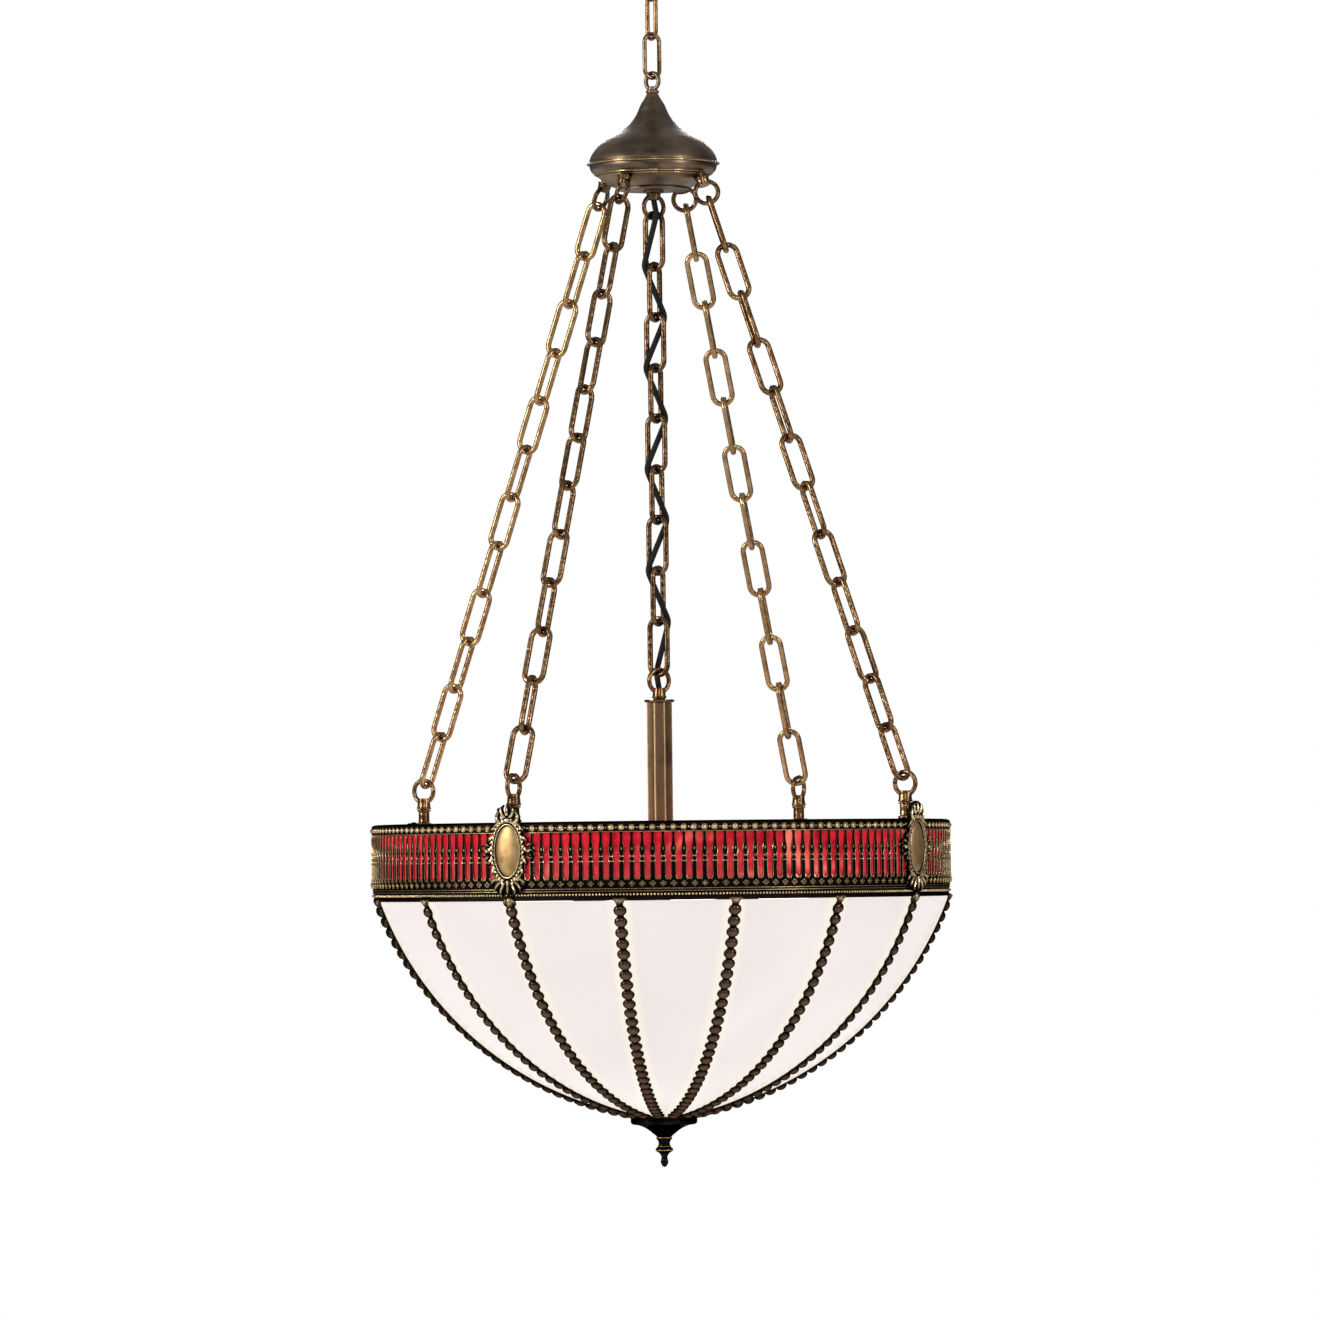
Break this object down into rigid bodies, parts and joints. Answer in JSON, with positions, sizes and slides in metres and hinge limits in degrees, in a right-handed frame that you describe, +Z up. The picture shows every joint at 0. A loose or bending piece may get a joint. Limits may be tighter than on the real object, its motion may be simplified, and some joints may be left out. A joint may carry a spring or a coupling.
{
  "type": "hanging bowl lamp",
  "caption": "Hanging lamp: bent white glass panels in a beaded frame under a pierced red-lined band, held by chains from a bell-shaped hub, with a corded centre stem.",
  "frame": {"origin": "centre of the crossbar's two slots, in the ceiling plane", "axes": "+Z up out of the ceiling plane along the lamp's axis; the four outer chains lie over +X, +Y, -X and -Y"},
  "size_m": [0.5194, 0.5194, 1.1749],
  "materials": {
    "hub_bronze": "brushed brown bronze patina, dull",
    "chain_brass": "hammered antique brass with rubbed highlights",
    "stem_brass": "antique brass, rubbed on the flute edges",
    "band_brass": "dark antique brass, rubbed gold on the high points",
    "plaque_brass": "brushed gold brass",
    "rib_bronze": "dark brown bronze, soft sheen",
    "finial_bronze": "near-black bronze with rubbed gold rings",
    "panel_glass": "creamy white opal glass, glossy",
    "red_glass": "deep red glass, glossy, faintly mottled",
    "cord_black": "black flexible cord, dull",
    "fixing_steel": "zinc plated",
    "socket_black": "black moulded plastic",
    "bulb_white": "frosted white"
  },
  "bodies": {
    "ceiling": {"crossbar": "fixing_steel", "crossbar_nut": "fixing_steel", "canopy": "hub_bronze", "canopy_ring_nut": "hub_bronze", "canopy_eye": "chain_brass"},
    "upper_link_1": {"upper_link_1": "chain_brass"},
    "upper_links_2_3": {"upper_link_2": "chain_brass", "upper_link_3": "chain_brass"},
    "upper_link_4": {"upper_link_4": "chain_brass"},
    "hub": {"hub_eye": "hub_bronze", "hub_cap": "hub_bronze", "hub_lip": "hub_bronze", "hub_dish": "hub_bronze", "hub_floor": "hub_bronze", "hub_base": "hub_bronze", "hub_seat": "stem_brass", "hub_locknut": "fixing_steel", "hub_nipple": "fixing_steel", "hub_couplings": "fixing_steel", "hub_centre_loop": "stem_brass", "hub_arm_loops": "stem_brass", "hub_arm_nuts": "fixing_steel"},
    "chain_right": {"chain_right": "chain_brass"},
    "chain_back": {"chain_back": "chain_brass"},
    "chain_left": {"chain_left": "chain_brass"},
    "chain_front": {"chain_front": "chain_brass"},
    "centre_chain": {"centre_chain": "chain_brass", "lamp_cord": "cord_black"},
    "bowl": {"stem_loop": "stem_brass", "stem_flange": "stem_brass", "stem_tube": "stem_brass", "stem_rod": "fixing_steel", "stem_coupling": "fixing_steel", "lamp_cluster": "stem_brass", "lamp_sockets": "socket_black", "lamp_bulbs": "bulb_white", "band_shell": "band_brass", "band_top_rim": "band_brass", "band_foot_ring": "band_brass", "red_glass": "red_glass", "band_loops": "stem_brass", "band_posts": "stem_brass", "cartouche_frames": "band_brass", "cartouche_plaques": "plaque_brass", "glass_panels": "panel_glass", "ribs": "rib_bronze", "rib_clips": "rib_bronze", "bottom_cap": "finial_bronze", "inner_seat": "fixing_steel", "inner_nut": "fixing_steel", "centre_rod": "fixing_steel", "rod_coupling": "fixing_steel", "finial": "finial_bronze"}
  },
  "joints": [
    {"name": "upper_swing_1", "type": "hinge", "parent": "ceiling", "child": "upper_link_1", "pos_m": [0, 0, -0.0819], "axis": [0.5, 0.866, 0], "range_deg": [-20, 20]},
    {"name": "upper_swing_2", "type": "hinge", "parent": "upper_link_1", "child": "upper_links_2_3", "pos_m": [0, 0, -0.1162], "axis": [0.866, -0.5, 0], "range_deg": [-20, 20]},
    {"name": "upper_swing_3", "type": "hinge", "parent": "upper_links_2_3", "child": "upper_link_4", "pos_m": [0, 0, -0.185], "axis": [0.866, -0.5, 0], "range_deg": [-20, 20]},
    {"name": "hub_swing", "type": "hinge", "parent": "upper_link_4", "child": "hub", "pos_m": [0, 0, -0.2194], "axis": [0.5, 0.866, 0], "range_deg": [-18, 18]},
    {"name": "bowl_turn", "type": "hinge", "parent": "hub", "child": "bowl", "pos_m": [0, 0, -0.3331], "axis": [0, 0, 1], "range_deg": [-6.5, 6.5]},
    {"name": "centre_chain_turn", "type": "hinge", "parent": "hub", "child": "centre_chain", "pos_m": [0, 0, -0.3331], "axis": [0, 0, 1], "range_deg": [-3.4, 3.4]},
    {"name": "chain_right_lean", "type": "hinge", "parent": "hub", "child": "chain_right", "pos_m": [0.054, 0, -0.32289], "axis": [0.9386, 0, 0.345], "range_deg": [-3, 3]},
    {"name": "chain_back_lean", "type": "hinge", "parent": "hub", "child": "chain_back", "pos_m": [0, 0.054, -0.32289], "axis": [0, 0.9386, 0.345], "range_deg": [-3, 3]},
    {"name": "chain_left_lean", "type": "hinge", "parent": "hub", "child": "chain_left", "pos_m": [-0.054, 0, -0.32289], "axis": [-0.9386, 0, 0.345], "range_deg": [-3, 3]},
    {"name": "chain_front_lean", "type": "hinge", "parent": "hub", "child": "chain_front", "pos_m": [0, -0.054, -0.32289], "axis": [0, -0.9386, 0.345], "range_deg": [-3, 3]}
  ],
  "couplings": [
    {"joint": "centre_chain_turn", "follows": "bowl_turn", "ratio": 0.5},
    {"joint": "chain_right_lean", "follows": "bowl_turn", "ratio": 0.44256},
    {"joint": "chain_back_lean", "follows": "bowl_turn", "ratio": 0.44256},
    {"joint": "chain_left_lean", "follows": "bowl_turn", "ratio": 0.44256},
    {"joint": "chain_front_lean", "follows": "bowl_turn", "ratio": 0.44256}
  ]
}
